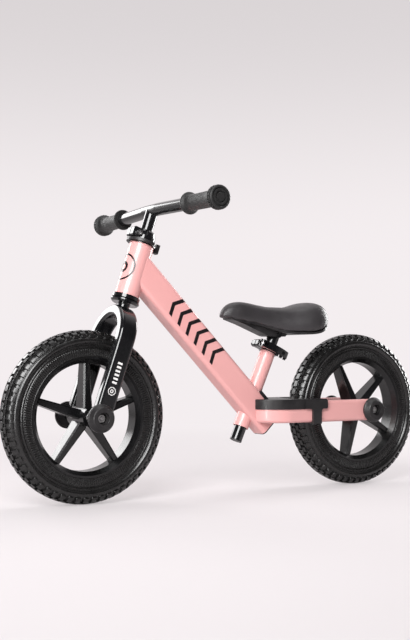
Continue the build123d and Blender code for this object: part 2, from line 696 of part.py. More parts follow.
def left_stay():
    """Left half of the rear fork, closing on the side of the beam."""
    solid = stay_bend(0, 0, STAY_HEIGHT)
    solid = fillet(long_edges(solid, STAY_HEIGHT / 2, "Z"), STAY_CORNER)
    hollow = stay_bend(TUBE_WALL, 0, STAY_HEIGHT - 2 * TUBE_WALL)
    hollow = fillet(long_edges(hollow, STAY_HEIGHT / 2 - TUBE_WALL, "Z"),
                    STAY_CORNER - TUBE_WALL)
    rear_wall = Pos(-AXLE_X - STAY_BEHIND_AXLE, 0, 0) * Box(
        3, 200, STAY_HEIGHT, align=(Align.MIN, Align.CENTER, Align.CENTER))
    part = Pos(0, 0, WHEEL_RADIUS) * (solid - (hollow - rear_wall))
    left = Pos(-AXLE_X, STAY_INTO_BEAM, WHEEL_RADIUS) * Box(
        900, 100, 100, align=(Align.CENTER, Align.MIN, Align.CENTER))
    part = (part & left) - beam_envelope()
    return part - REAR_AXLE * rod(AXLE_RADIUS, -100, 100)


# --------------------------------------------------- seat clamp and its lever
def seat_clamp():
    """Split collar on top of the seat tube, drawn together by the skewer."""
    height = SEAT_CLAMP_TOP - SEAT_CLAMP_BOTTOM
    part = rod(SEAT_CLAMP_RADIUS, 0, height)
    part = chamfer(part.edges().filter_by(GeomType.CIRCLE), 1.0)
    ears = Box(SEAT_EAR_REACH, 2 * SEAT_EAR_HALF, height, align=FROM_CORNER)
    part += fillet(ears.edges().filter_by(Axis.Y).group_by(Axis.X)[-1], 4)
    part -= rod(SEAT_TUBE_RADIUS, 0, height)
    part -= Box(SEAT_EAR_REACH + 5, SEAT_SLOT, height, align=FROM_CORNER)
    part = Pos(0, 0, SEAT_CLAMP_BOTTOM) * part
    return on_seat(part - skewer_place(across(rod(SKEWER_RADIUS, -30, 30))))


def skewer_place(part):
    return Pos(SKEWER_AHEAD, 0, (SEAT_CLAMP_BOTTOM + SEAT_CLAMP_TOP) / 2) * part


def skewer():
    """Rod through the ears with an eye that holds the pivot pin."""
    eye = Pos(0, CAM_OUT, 0) * rod(3.6, -2.2, 2.2)
    pin = Pos(0, CAM_OUT, 0) * rod(PIVOT_PIN_RADIUS, -LEVER_HEIGHT / 2, LEVER_HEIGHT / 2)
    shank = across(rod(SKEWER_RADIUS, -SEAT_EAR_HALF - 7.5, CAM_OUT - 1))
    return on_seat(skewer_place(shank + eye + pin))


def skewer_nut():
    part = rod(6.2, -SEAT_EAR_HALF - 6.5, -SEAT_EAR_HALF)
    part = chamfer(part.edges().filter_by(GeomType.CIRCLE), 0.8)
    return on_seat(skewer_place(across(part - rod(SKEWER_RADIUS, -30, 0))))


def cam_washer():
    """Dished plastic washer between the ear and the cam."""
    block = across(rod(6.0, SEAT_EAR_HALF, SEAT_EAR_HALF + 2.6))
    block -= across(rod(SKEWER_RADIUS, 0, 30))
    block -= Pos(0, CAM_OUT, 0) * rod(CAM_RADIUS + 0.3, -20, 20)
    return on_seat(skewer_place(block))


def lever_plan():
    """Lever seen along the seat tube: cam head, curved arm and tail."""
    head = Pos(SKEWER_AHEAD, CAM_OUT) * Circle(CAM_RADIUS)
    arm, tail = LEVER_ARM, LEVER_ARM - LEVER_HOOK
    inner = [(SKEWER_AHEAD, CAM_OUT + 1.0), (10.0, arm), (-10.0, arm), (LEVER_TAIL, tail)]
    outer = [(SKEWER_AHEAD, CAM_OUT + CAM_RADIUS), (10.0, arm + LEVER_THICKNESS),
             (-11.0, arm + LEVER_THICKNESS), (LEVER_TAIL - 2.0, tail + LEVER_THICKNESS)]
    edge = Spline(*inner) + Line(inner[-1], outer[-1]) + Spline(*reversed(outer))
    return head + make_face(edge + Line(outer[0], inner[0]))


def lever():
    """Quick-release lever, closed: its arm lies back along the collar."""
    part = Pos(0, 0, -LEVER_HEIGHT / 2) * extrude(lever_plan(), LEVER_HEIGHT)
    recess = Box(8.0, 4.0, 6.0)
    part -= Pos(-18.0, LEVER_ARM + 4.0, 0) * recess
    for n in (-8.0, -17.0, -26.0):
        foot = Pos(n, LEVER_ARM - 1.0, -LEVER_HEIGHT / 2 - 3.5)
        part += foot * Box(5.0, 3.0, 4.5, align=FROM_BOTTOM)
    fork_gap = Pos(SKEWER_AHEAD, CAM_OUT, 0) * Box(16, 16, 5.2)
    part -= fork_gap
    part -= Pos(SKEWER_AHEAD, CAM_OUT) * rod(PIVOT_PIN_RADIUS + 0.05, -20, 20)
    middle = (SEAT_CLAMP_BOTTOM + SEAT_CLAMP_TOP) / 2
    return on_seat(Pos(0, 0, middle) * part)


# ---------------------------------------------------------- seat post, saddle
def seat_sleeve():
    """Plastic sleeve that fills the seat tube around the post."""
    bore = POST_RADIUS + SLIDE_FIT
    part = ring(SEAT_TUBE_BORE, bore, SLEEVE_BOTTOM, SEAT_TUBE_TOP)
    part += ring(SEAT_TUBE_RADIUS, bore, SEAT_TUBE_TOP, SEAT_TUBE_TOP + SLEEVE_FLANGE)
    return on_seat(part)


def seat_post():
    part = ring(POST_RADIUS, POST_RADIUS - POST_WALL, POST_BOTTOM, POST_TOP)
    return on_seat(part) - saddle_screw_holes()


def post_plug():
    part = rod(POST_RADIUS, POST_BOTTOM - 2, POST_BOTTOM)
    return on_seat(part + rod(POST_RADIUS - POST_WALL, POST_BOTTOM, POST_BOTTOM + 10))


def saddle_section(half_width, bottom, top):
    """Closed cross section: flat underside, sides rounding into the top."""
    tall = top - bottom
    right = [(0.86 * half_width, bottom), (half_width, bottom + 0.20 * tall),
             (0.97 * half_width, bottom + 0.50 * tall), (0.78 * half_width, bottom + 0.82 * tall),
             (0.42 * half_width, bottom + 0.97 * tall)]
    left = [(-y, z) for y, z in reversed(right)]
    arc = Spline(*right, (0, top), *left)
    return make_face(arc + Line(left[-1], right[0]))


def section_plane(ahead):
    """Upright plane across the bike, its middle level with the seat point."""
    return Plane((SEAT_POINT[0] + ahead, 0, SEAT_POINT[1]), x_dir=(0, 1, 0),
                 z_dir=(1, 0, 0))


def saddle_loft(sections):
    return loft([section_plane(x) * saddle_section(*rest) for x, *rest in sections])


def saddle_plate(below=0.0):
    """Thin moulded plate that follows the underside of the cushion."""
    sections = [(x, half - SADDLE_BASE_INSET, low - below, low + SADDLE_BASE_THICKNESS)
                for x, half, low, high in SADDLE_SECTIONS[1:-1]]
    return loft([section_plane(x) * make_face(
        Polyline((-half, low), (half, low), (half, high), (-half, high), close=True))
        for x, half, low, high in sections])


def keel():
    """Ridge under the nose that runs back into the post socket."""
    outline = make_face(Plane.XZ * Polyline(*KEEL_SIDE, close=True))
    outline = Pos(SEAT_POINT[0], 0, SEAT_POINT[1]) * outline
    return extrude(outline, KEEL_HALF_WIDTH, both=True)


def saddle_base():
    part = saddle_plate() + keel()
    part -= on_seat(rod(POST_RADIUS, 40, POST_TOP))
    return part - saddle_screw_holes()


def saddle_cushion():
    return saddle_loft(SADDLE_SECTIONS) - saddle_plate(below=5) - keel()


def saddle_screw_line(radius, low, high):
    place = Pos(0, 0, POST_TOP - 6)
    return place * across(rod(radius, low, high))


def saddle_screw_holes():
    return on_seat(saddle_screw_line(SCREW_RADIUS, -30, 30))


def saddle_screw():
    """Cross screw through the socket and the top of the post."""
    head_radius, head_height = SCREW_HEAD
    part = saddle_screw_line(SCREW_RADIUS, -KEEL_HALF_WIDTH, KEEL_HALF_WIDTH)
    part += saddle_screw_line(head_radius, KEEL_HALF_WIDTH, KEEL_HALF_WIDTH + head_height)
    part += saddle_screw_line(head_radius, -KEEL_HALF_WIDTH - head_height, -KEEL_HALF_WIDTH)
    return on_seat(part)


# ----------------------------------------------------------------- footrest
def deck_top():
    return WHEEL_RADIUS + STAY_HEIGHT / 2 + DECK_THICKNESS


def footrest():
    """Moulded deck over the bend of the rear fork, with a skirt outside."""
    plan = stay_outline(DECK_OUT, rear=DECK_REAR)
    mouth = Pos(DECK_MOUTH, 0) * Rectangle(200, 2 * DECK_MOUTH_HALF,
                                           align=(Align.MAX, Align.CENTER))
    mouth = fillet(mouth.vertices().group_by(Axis.X)[-1], 22)
    stay_top = WHEEL_RADIUS + STAY_HEIGHT / 2
    part = Pos(0, 0, stay_top) * extrude(plan - mouth, DECK_THICKNESS)
    skirt = plan - stay_outline(rear=2 * DECK_REAR)
    part += Pos(0, 0, stay_top - DECK_SKIRT) * extrude(skirt, DECK_SKIRT)
    part = fillet(part.edges().group_by(Axis.Z)[-1].filter_by(
        lambda e: abs(e.center().Y) > DECK_MOUTH_HALF or e.center().X > STAY_BEND_X), 1.5)
    part += beam_lip()
    return part - beam_envelope() - seat_tube_envelope()


def beam_lip():
    """Raised lip of the deck on the upper face and corners of the beam."""
    width, length, thickness = LIP
    stay_top = deck_top() - DECK_THICKNESS
    rise = stay_top - BEAM_FOOT[1] - BEAM_HEIGHT / 2 * cos(SLOPE)
    lip = on_beam(Pos(BEAM_CORNER - BEAM_HEIGHT / 2, 0, rise / sin(SLOPE)) * Box(
        BEAM_CORNER + thickness, width, length, align=(Align.MAX, Align.CENTER, Align.MIN)))
    above = Pos(BEAM_FOOT[0], 0, stay_top) * Box(
        400, 100, 100, align=(Align.CENTER, Align.CENTER, Align.MIN))
    return lip & above


def clip_side():
    """Outline of a clip in the (x, height) plane: a pad above a narrow strap."""
    low = WHEEL_RADIUS - STAY_HEIGHT / 2 - CLIP_THICKNESS
    pad_low = WHEEL_RADIUS + STAY_HEIGHT / 2 - DECK_SKIRT
    rear, front = CLIP_STRAP
    pad = Pos(DECK_REAR, pad_low) * Rectangle(CLIP_LENGTH, DECK_SKIRT + 1, align=Align.MIN)
    strap = Pos(rear, low) * Rectangle(front - rear, pad_low - low, align=Align.MIN)
    outline = pad + strap
    inner = [v for v in outline.vertices() if abs(v.Y - pad_low) < 1e-6]
    inner.sort(key=lambda v: v.X)
    outline = fillet(inner[1:3], CLIP_FLARE)
    outer = [v for v in outline.vertices() if abs(v.Y - pad_low) < 1e-6]
    outer.sort(key=lambda v: v.X)
    return fillet([outer[0], outer[-1]], CLIP_CORNER)


def footrest_clips():
    """Clips that hold the ends of the deck to the two stays."""
    rear, front = CLIP_STRAP
    low = WHEEL_RADIUS - STAY_HEIGHT / 2
    out = STAY_HALF_WIDTH + DECK_OUT
    part = Pos(0, out + CLIP_THICKNESS, 0) * extrude(Plane.XZ * clip_side(), CLIP_THICKNESS)
    strap_top = WHEEL_RADIUS + STAY_HEIGHT / 2 - DECK_SKIRT
    part += Pos(rear, STAY_HALF_WIDTH, low - CLIP_THICKNESS) * Box(
        front - rear, DECK_OUT, strap_top - low + CLIP_THICKNESS, align=Align.MIN)
    part += Pos(rear, STAY_HALF_WIDTH - STAY_THICKNESS, low - CLIP_THICKNESS) * Box(
        front - rear, STAY_THICKNESS, CLIP_THICKNESS, align=Align.MIN)
    part -= clip_screw_place(rod(SCREW_RADIUS, 0, 30))
    return [part, mirrored(part)]


def clip_screw_place(part):
    rear, front = CLIP_STRAP
    low = WHEEL_RADIUS - STAY_HEIGHT / 2 - CLIP_THICKNESS
    return Pos((rear + front) / 2, STAY_HALF_WIDTH - STAY_THICKNESS / 2, low) * part


def clip_screws():
    """Pan-head screws from below through the clips into the stays."""
    head_radius, head_height = SCREW_HEAD
    screw = rod(head_radius, -head_height, 0) + rod(SCREW_RADIUS, 0, 8)
    left = clip_screw_place(screw)
    return [left, mirrored(left)]


def screw_holes_in_stay(part):
    return part - clip_screw_place(rod(SCREW_RADIUS, 0, 8))


# ------------------------------------------------------------------- writing
def assembly():
    """Every sub-part by name, placed in the assembled bike."""
    stay = screw_holes_in_stay(left_stay())
    left_grip = grip()
    parts = {
        "head_tube": head_tube(),
        "main_beam": main_beam(),
        "beam_end_plug": beam_plug(),
        "seat_tube": seat_tube(),
        "rear_stay_left": stay,
        "rear_stay_right": mirrored(stay),
        "lower_headset_cup": lower_cup(),
        "upper_headset_cup": upper_cup(),
        "headset_balls": headset_balls(),
        "steering_stop_block": stop_block(),
        "seat_tube_sleeve": seat_sleeve(),
        "seat_clamp_collar": seat_clamp(),
        "seat_clamp_skewer": skewer(),
        "seat_clamp_nut": skewer_nut(),
        "seat_clamp_washer": cam_washer(),
        "seat_clamp_lever": lever(),
        "footrest_deck": footrest(),
        "footrest_clips": footrest_clips(),
        "footrest_screws": clip_screws(),
        "fork_legs": fork_legs(),
        "steerer_tube": steerer(),
        "crown_bolt": crown_bolt(),
        "headset_cones": headset_cones(),
        "crown_cover": crown_cover(),
        "steering_stop_ring": stop_ring(),
        "handlebar_clamp": bar_clamp(),
        "handlebar_clamp_bolt": bar_bolt(),
        "handlebar_clamp_nut": bar_nut(),
        "handlebar_stem": stem(),
        "handlebar_crossbar": crossbar(),
        "grip_left": left_grip,
        "grip_right": mirrored(left_grip),
        "seat_post": seat_post(),
        "seat_post_plug": post_plug(),
        "saddle_base": saddle_base(),
        "saddle_cushion": saddle_cushion(),
        "saddle_screw": saddle_screw(),
    }
    stay_face, leg_face = STAY_HALF_WIDTH, FORK_HALF_WIDTH
    parts.update(wheel_parts("front", FRONT_AXLE, FRONT_SPOKE_ANGLE, leg_face,
                             leg_face - LEG_THICKNESS, FRONT_COVER_FACE))
    parts.update(wheel_parts("rear", REAR_AXLE, REAR_SPOKE_ANGLE, stay_face,
                             stay_face - STAY_THICKNESS, REAR_COVER_FACE))
    return parts


def wheel_parts(name, place, spoke_angle, arm_face, arm_inside, cover_face):
    """The wheel, its bearings, axle, nuts and covers at one end of the bike."""
    cover = hub_cover(arm_face, cover_face)
    local = {
        "tyre": tyre(),
        "rim": rim(spoke_angle),
        "bearing_outer_races": outer_races(),
        "bearing_balls": balls(),
        "bearing_inner_races": inner_races(),
        "axle": axle(arm_face),
        "axle_spacers": axle_spacers(arm_inside),
        "axle_nuts": axle_nuts(arm_face),
        "hub_cover_left": cover,
        "hub_cover_right": Rot(X=180) * cover,
    }
    return {f"{name}_{key}": placed(part, place) for key, part in local.items()}


def placed(part, place):
    return [place * p for p in part] if isinstance(part, list) else place * part


def main():
    os.makedirs("parts", exist_ok=True)
    for name, part in assembly().items():
        solids = part if isinstance(part, list) else [part]
        export_step(Compound(children=[s for p in solids for s in p.solids()]),
                    f"parts/{name}.step")


main()
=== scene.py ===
"""Looks of the children's balance bike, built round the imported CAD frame.

Metres throughout.  +X is the riding direction, +Y the rider's left, +Z up, and
the origin is on the ground midway between the axles.
"""
import json
from math import cos, hypot, pi, radians, sin

import bmesh
import bpy
from mathutils import Matrix, Vector


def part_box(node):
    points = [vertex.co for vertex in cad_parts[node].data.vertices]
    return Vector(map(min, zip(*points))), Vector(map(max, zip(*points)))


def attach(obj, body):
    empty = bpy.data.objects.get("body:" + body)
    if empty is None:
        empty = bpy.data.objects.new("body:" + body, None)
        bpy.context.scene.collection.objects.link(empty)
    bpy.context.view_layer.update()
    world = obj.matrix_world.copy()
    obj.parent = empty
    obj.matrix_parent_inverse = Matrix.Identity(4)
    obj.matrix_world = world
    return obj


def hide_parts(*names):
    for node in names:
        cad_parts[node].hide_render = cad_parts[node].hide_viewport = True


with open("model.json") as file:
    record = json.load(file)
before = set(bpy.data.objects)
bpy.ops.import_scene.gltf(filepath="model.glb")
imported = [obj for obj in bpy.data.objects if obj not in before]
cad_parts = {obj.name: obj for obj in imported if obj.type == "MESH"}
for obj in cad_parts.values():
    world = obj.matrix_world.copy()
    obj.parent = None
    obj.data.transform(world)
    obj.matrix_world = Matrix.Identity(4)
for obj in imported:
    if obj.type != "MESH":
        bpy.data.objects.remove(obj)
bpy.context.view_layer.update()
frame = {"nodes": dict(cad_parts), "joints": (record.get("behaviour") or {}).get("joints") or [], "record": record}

MM = 0.001
SIDES = (("left", 1), ("right", -1))

# ------------------------------------------------------------------- colours
PINK = (0.87, 0.44, 0.425, 1)
PINK_DEEP = (0.80, 0.37, 0.36, 1)
GLOSS_BLACK = (0.006, 0.006, 0.007, 1)
DEEP_BLACK = (0.003, 0.003, 0.003, 1)
SATIN_BLACK = (0.013, 0.012, 0.013, 1)
PLASTIC_GREY = (0.026, 0.024, 0.025, 1)
RUBBER = (0.005, 0.0047, 0.0048, 1)
RUBBER_DUST = (0.010, 0.0095, 0.0096, 1)
VINYL = (0.040, 0.036, 0.039, 1)
STEEL = (0.62, 0.61, 0.60, 1)
STEEL_DULL = (0.50, 0.50, 0.51, 1)
WHITE_INK = (0.90, 0.88, 0.87, 1)
BLACK_INK = (0.008, 0.006, 0.007, 1)
BACKDROP = (0.905, 0.855, 0.868, 1)
FLOOR_PAPER = (0.72, 0.68, 0.692, 1)

# ------------------------------------------------------------ camera, lights
CAMERA_AZIMUTH = 148.81       # degrees; 0 looks along +Y, 90 along -X
CAMERA_ELEVATION = -2.13
CAMERA_DISTANCE = 1.90
CAMERA_TARGET = (0.0403, -0.0154, 0.3119)
CAMERA_LENS = 59.05
SENSOR = 36.0

# ---------------------------------------------------------------- tyre tread
TYRE_COLUMNS = 720
BLOCK_PITCH = 12              # columns from one tread block to the next
BLOCK_COLUMNS = {"centre": 9, "middle": 8, "shoulder": 7, "lug": 7}
RIB_PITCH = 4                 # columns from one sidewall rib to the next
BLOCK_HEIGHT = 4.2 * MM
RIB_DEPTH = 1.6 * MM
TYRE_CORE_INSET = 26 * MM     # centre of the tyre section inside the tread radius
TYRE_RADIUS = 145.0           # the size that TYRE_SECTION is drawn for, in mm
TYRE_HALF_WIDTH = 24.0

# Half section from the middle of the tread to the bead, in mm: radius, distance
# from the middle plane, and what the strip up to the next point is.
TYRE_SECTION = (
    (145.0, 0.0, "centre"), (144.9, 4.4, "groove"), (144.6, 6.6, "middle"),
    (143.3, 12.6, "groove"), (142.3, 14.8, "shoulder"), (139.4, 18.8, "shoulder"),
    (136.6, 20.8, "lug"), (133.4, 22.2, "plain"), (132.6, 20.9, "plain"),
    (131.8, 20.9, "plain"), (130.9, 22.0, "plain"), (129.4, 23.2, "plain"),
    (127.4, 24.0, "plain"), (125.2, 23.9, "plain"), (123.2, 22.9, "plain"),
    (121.8, 21.2, "plain"), (120.8, 20.2, "plain"), (119.6, 20.4, "plain"),
    (118.4, 21.4, "plain"), (117.0, 21.2, "plain"), (116.0, 20.0, "plain"),
    (114.9, 20.2, "plain"), (113.9, 22.0, "plain"), (112.8, 22.9, "ribs"),
    (103.6, 22.8, "plain"), (102.4, 21.8, "plain"), (101.4, 22.4, "plain"),
    (100.6, 21.6, "plain"), (100.6, 20.6, "plain"), (94.2, 17.4, "plain"),
)
BLOCK_PHASE = {"centre": 0, "middle": 6, "shoulder": 0, "lug": 0}     # in columns
TYRE_BEVEL = 0.5 * MM


# ----------------------------------------------------------- material nodes
def add_node(owner, kind, **settings):
    """New node of a material or world."""
    made = owner.node_tree.nodes.new(kind)
    for key, value in settings.items():
        setattr(made, key, value)
    return made


def link(owner, source, target):
    owner.node_tree.links.new(source, target)


def shader(mat):
    return mat.node_tree.nodes["Principled BSDF"]


def new_material(name, colour, roughness, **sockets):
    """Principled material; sockets are its other inputs, with _ for a space."""
    mat = bpy.data.materials.new(name)
    mat.use_nodes = True
    mat.diffuse_color = colour
    bsdf = shader(mat)
    bsdf.inputs["Base Color"].default_value = colour
    bsdf.inputs["Roughness"].default_value = roughness
    for key, value in sockets.items():
        bsdf.inputs[key.replace("_", " ")].default_value = value
    return mat


def noise(mat, scale, detail=3.0, stretch=(1, 1, 1)):
    """Noise in object space; scale is in cells per metre."""
    place = add_node(mat, "ShaderNodeTexCoord")
    mapping = add_node(mat, "ShaderNodeMapping")
    mapping.inputs["Scale"].default_value = stretch
    texture = add_node(mat, "ShaderNodeTexNoise")
    texture.inputs["Scale"].default_value = scale
    texture.inputs["Detail"].default_value = detail
    link(mat, place.outputs["Object"], mapping.inputs["Vector"])
    link(mat, mapping.outputs["Vector"], texture.inputs["Vector"])
    return texture.outputs["Fac"]


def mottle(mat, first, second, scale, low=0.35, high=0.65):
    """Base colour that wanders between two colours."""
    ramp = add_node(mat, "ShaderNodeValToRGB")
    ramp.color_ramp.elements[0].position = low
    ramp.color_ramp.elements[0].color = first
    ramp.color_ramp.elements[1].position = high
    ramp.color_ramp.elements[1].color = second
    link(mat, noise(mat, scale), ramp.inputs["Fac"])
    link(mat, ramp.outputs["Color"], shader(mat).inputs["Base Color"])


def vary_roughness(mat, low, high, scale):
    """Roughness that wanders between two values."""
    spread = add_node(mat, "ShaderNodeMapRange")
    spread.inputs["From Min"].default_value = 0.3
    spread.inputs["From Max"].default_value = 0.7
    spread.inputs["To Min"].default_value = low
    spread.inputs["To Max"].default_value = high
    link(mat, noise(mat, scale, 5.0), spread.inputs["Value"])
    link(mat, spread.outputs["Result"], shader(mat).inputs["Roughness"])


def grain(mat, *layers):
    """Bump from (height socket, depth in metres, strength) layers, stacked."""
    under = None
    for height, depth, strength in layers:
        bump = add_node(mat, "ShaderNodeBump")
        bump.inputs["Distance"].default_value = depth
        bump.inputs["Strength"].default_value = strength
        link(mat, height, bump.inputs["Height"])
        if under:
            link(mat, under, bump.inputs["Normal"])
        under = bump.outputs["Normal"]
    link(mat, under, shader(mat).inputs["Normal"])


def pores(mat, scale):
    """Small cells, for leather grain and foam skin."""
    place = add_node(mat, "ShaderNodeTexCoord")
    cells = add_node(mat, "ShaderNodeTexVoronoi", feature="F1")
    cells.inputs["Scale"].default_value = scale
    link(mat, place.outputs["Object"], cells.inputs["Vector"])
    return cells.outputs["Distance"]


# ---------------------------------------------------------------- materials
def frame_paint():
    mat = new_material("pink_paint", PINK, 0.36, Coat_Weight=0.35, Coat_Roughness=0.12)
    mottle(mat, PINK, PINK_DEEP, 6.0, 0.30, 0.95)
    vary_roughness(mat, 0.28, 0.40, 40.0)
    grain(mat, (noise(mat, 900.0, 2.0), 0.00006, 0.35))
    return mat


def black_paint():
    mat = new_material("black_gloss_paint", GLOSS_BLACK, 0.16, Coat_Weight=0.7,
                       Coat_Roughness=0.05)
    vary_roughness(mat, 0.12, 0.22, 60.0)
    grain(mat, (noise(mat, 1100.0, 2.0), 0.00004, 0.25))
    return mat


def rim_plastic():
    mat = new_material("rim_plastic", GLOSS_BLACK, 0.2, Specular_IOR_Level=0.6)
    mottle(mat, GLOSS_BLACK, DEEP_BLACK, 12.0)
    vary_roughness(mat, 0.17, 0.26, 60.0)
    grain(mat, (noise(mat, 1500.0, 2.0), 0.00003, 0.2))
    return mat


def satin_plastic():
    mat = new_material("satin_plastic", PLASTIC_GREY, 0.38)
    mottle(mat, SATIN_BLACK, PLASTIC_GREY, 30.0)
    vary_roughness(mat, 0.32, 0.46, 120.0)
    grain(mat, (noise(mat, 2600.0, 3.0), 0.00008, 0.5))
    return mat


def tyre_foam():
    mat = new_material("tyre_foam", RUBBER, 0.27, Specular_IOR_Level=0.7)
    mottle(mat, RUBBER, RUBBER_DUST, 45.0)
    vary_roughness(mat, 0.23, 0.32, 150.0)
    grain(mat, (pores(mat, 900.0), 0.00004, 0.08), (noise(mat, 3200.0), 0.00003, 0.12))
    return mat


def grip_rubber():
    mat = new_material("grip_rubber", RUBBER, 0.55, Sheen_Weight=0.15, Sheen_Roughness=0.5)
    mottle(mat, RUBBER, RUBBER_DUST, 70.0)
    vary_roughness(mat, 0.46, 0.62, 200.0)
    grain(mat, (noise(mat, 2400.0, 4.0), 0.00015, 0.6))
    return mat


def saddle_vinyl():
    mat = new_material("saddle_vinyl", VINYL, 0.42, Specular_IOR_Level=0.6)
    mottle(mat, VINYL, PLASTIC_GREY, 18.0, 0.30, 0.90)
    vary_roughness(mat, 0.38, 0.50, 80.0)
    grain(mat, (pores(mat, 1100.0), 0.0002, 0.45), (noise(mat, 2500.0), 0.0001, 0.4))
    return mat


def steel():
    mat = new_material("zinc_plated_steel", STEEL, 0.3, Metallic=1.0)
    mottle(mat, STEEL, STEEL_DULL, 220.0)
    vary_roughness(mat, 0.22, 0.40, 300.0)
    grain(mat, (noise(mat, 3000.0, 2.0, (1, 0.1, 1)), 0.00005, 0.4))
    return mat


def ink(name, colour):
    """Printed film, a little darker in places."""
    mat = new_material(name, colour, 0.35, Coat_Weight=0.3, Coat_Roughness=0.1)
    mottle(mat, colour, tuple(0.9 * c for c in colour[:3]) + (1,), 300.0)
    grain(mat, (noise(mat, 1800.0), 0.00003, 0.3))
    return mat


MATERIALS = {
    "frame_paint": frame_paint(),
    "black_paint": black_paint(),
    "black_plastic": satin_plastic(),
    "rim_plastic": rim_plastic(),
    "tyre_foam": tyre_foam(),
    "grip_rubber": grip_rubber(),
    "saddle_foam": saddle_vinyl(),
    "steel": steel(),
    "bolts": steel(),
}
BLACK = ink("black_ink", BLACK_INK)
WHITE = ink("white_ink", WHITE_INK)


def dress_cad_nodes():
    """Every CAD node takes the material of its slot in the record."""
    for row in frame["record"]["subparts"]:
        mesh = frame["nodes"][row["node"]].data
        mesh.materials.clear()
        mesh.materials.append(MATERIALS[row["material_slot"]])


# ------------------------------------------------------------- mesh helpers
def mesh_object(name, bm, mat, sharp=30.0):
    """Object of a bmesh, smooth apart from edges sharper than the angle."""
    bmesh.ops.recalc_face_normals(bm, faces=bm.faces)
    mesh = bpy.data.meshes.new(name)
    bm.to_mesh(mesh)
    bm.free()
    mesh.polygons.foreach_set("use_smooth", [True] * len(mesh.polygons))
    mesh.set_sharp_from_angle(angle=radians(sharp))
    obj = bpy.data.objects.new(name, mesh)
    bpy.context.scene.collection.objects.link(obj)
    mesh.materials.append(mat)
    return obj


def apply_modifiers(obj):
    """Keep the evaluated mesh and drop the modifiers."""
    graph = bpy.context.evaluated_depsgraph_get()
    mesh = bpy.data.meshes.new_from_object(obj.evaluated_get(graph))
    obj.modifiers.clear()
    obj.data = mesh


def add_bevel(obj, width):
    """One flat along every edge of more than 35 degrees."""
    bevel = obj.modifiers.new("edge", "BEVEL")
    bevel.width = width
    bevel.segments = 1
    bevel.limit_method = "ANGLE"
    bevel.angle_limit = radians(35.0)


def wrap(rows):
    """Closed surface from rows of points: a tube, closed both ways."""
    bm = bmesh.new()
    grid = [[bm.verts.new(p) for p in row] for row in rows]
    for i, row in enumerate(grid):
        following = grid[(i + 1) % len(grid)]
        for j in range(len(row)):
            k = (j + 1) % len(row)
            bm.faces.new((row[j], following[j], following[k], row[k]))
    return bm


# -------------------------------------------------------------------- tyres
def full_section():
    """Closed tyre section as (radius, offset, strip kind) going right round."""
    right = list(TYRE_SECTION)
    left = []
    for index in range(len(right) - 1, 0, -1):
        radius, offset, _ = right[index]
        left.append((radius, -offset, right[index - 1][2]))
    return right + left


def tyre(name, body):
    """Foam tyre with tread blocks, as large as the node it stands for."""
    low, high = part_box(name)
    centre = (low + high) / 2
    radius, half_width = (high.z - low.z) / 2, (high.y - low.y) / 2
    scale, widen = radius / TYRE_RADIUS, half_width / TYRE_HALF_WIDTH
    section = [(r * scale, y * widen, kind) for r, y, kind in full_section()]
    core = radius - TYRE_CORE_INSET
    bm = wrap(tyre_rows(sink_under_blocks(section, core), centre))
    raise_blocks(bm, section, centre, core)
    obj = mesh_object(name.replace("_tyre", "_foam_tyre"), bm, MATERIALS["tyre_foam"])
    add_bevel(obj, TYRE_BEVEL)
    apply_modifiers(obj)
    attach(obj, body)
    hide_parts(name)


def tyre_rows(section, centre):
    """The section at every column round the wheel, with the sidewall ribs cut in."""
    ribbed = {j for j, (_, _, kind) in enumerate(section) if kind == "ribs"}
    ribbed |= {j + 1 for j in ribbed}
    rows = []
    for i in range(TYRE_COLUMNS):
        angle = 2 * pi * i / TYRE_COLUMNS
        row = []
        for j, (r, y, _) in enumerate(section):
            if j in ribbed and i % RIB_PITCH >= RIB_PITCH // 2:
                y -= RIB_DEPTH if y > 0 else -RIB_DEPTH
            row.append((centre.x + r * cos(angle), centre.y + y, centre.z + r * sin(angle)))
        rows.append(row)
    return rows


def sink_under_blocks(section, core):
    """The section with its tread lowered to the floor of the grooves."""
    lowered = []
    for j, (r, y, kind) in enumerate(section):
        touching = {kind, section[j - 1][2]} & set(BLOCK_PHASE)
        if touching:
            reach = hypot(r - core, y)
            share = (reach - BLOCK_HEIGHT) / reach
            r, y = core + (r - core) * share, y * share
        lowered.append((r, y, kind))
    return lowered


def raise_blocks(bm, section, centre, core):
    """Push the tread blocks out of the grid of tyre faces."""
    bm.faces.ensure_lookup_table()
    count = len(section)
    chosen = []
    for index, face in enumerate(bm.faces):
        column, strip = divmod(index, count)
        kind = section[strip][2]
        if kind in BLOCK_PHASE:
            if (column + BLOCK_PHASE[kind]) % BLOCK_PITCH < BLOCK_COLUMNS[kind]:
                chosen.append(face)
    raised = bmesh.ops.extrude_face_region(bm, geom=chosen)
    for vert in (v for v in raised["geom"] if isinstance(v, bmesh.types.BMVert)):
        x, y, z = vert.co - centre
        radius = hypot(x, z)
        reach = hypot(radius - core, y)
        push = BLOCK_HEIGHT / reach
        grow = (radius + (radius - core) * push) / radius
        vert.co = centre + Vector((x * grow, y * (1 + push), z * grow))
    bmesh.ops.delete(bm, geom=chosen, context="FACES")


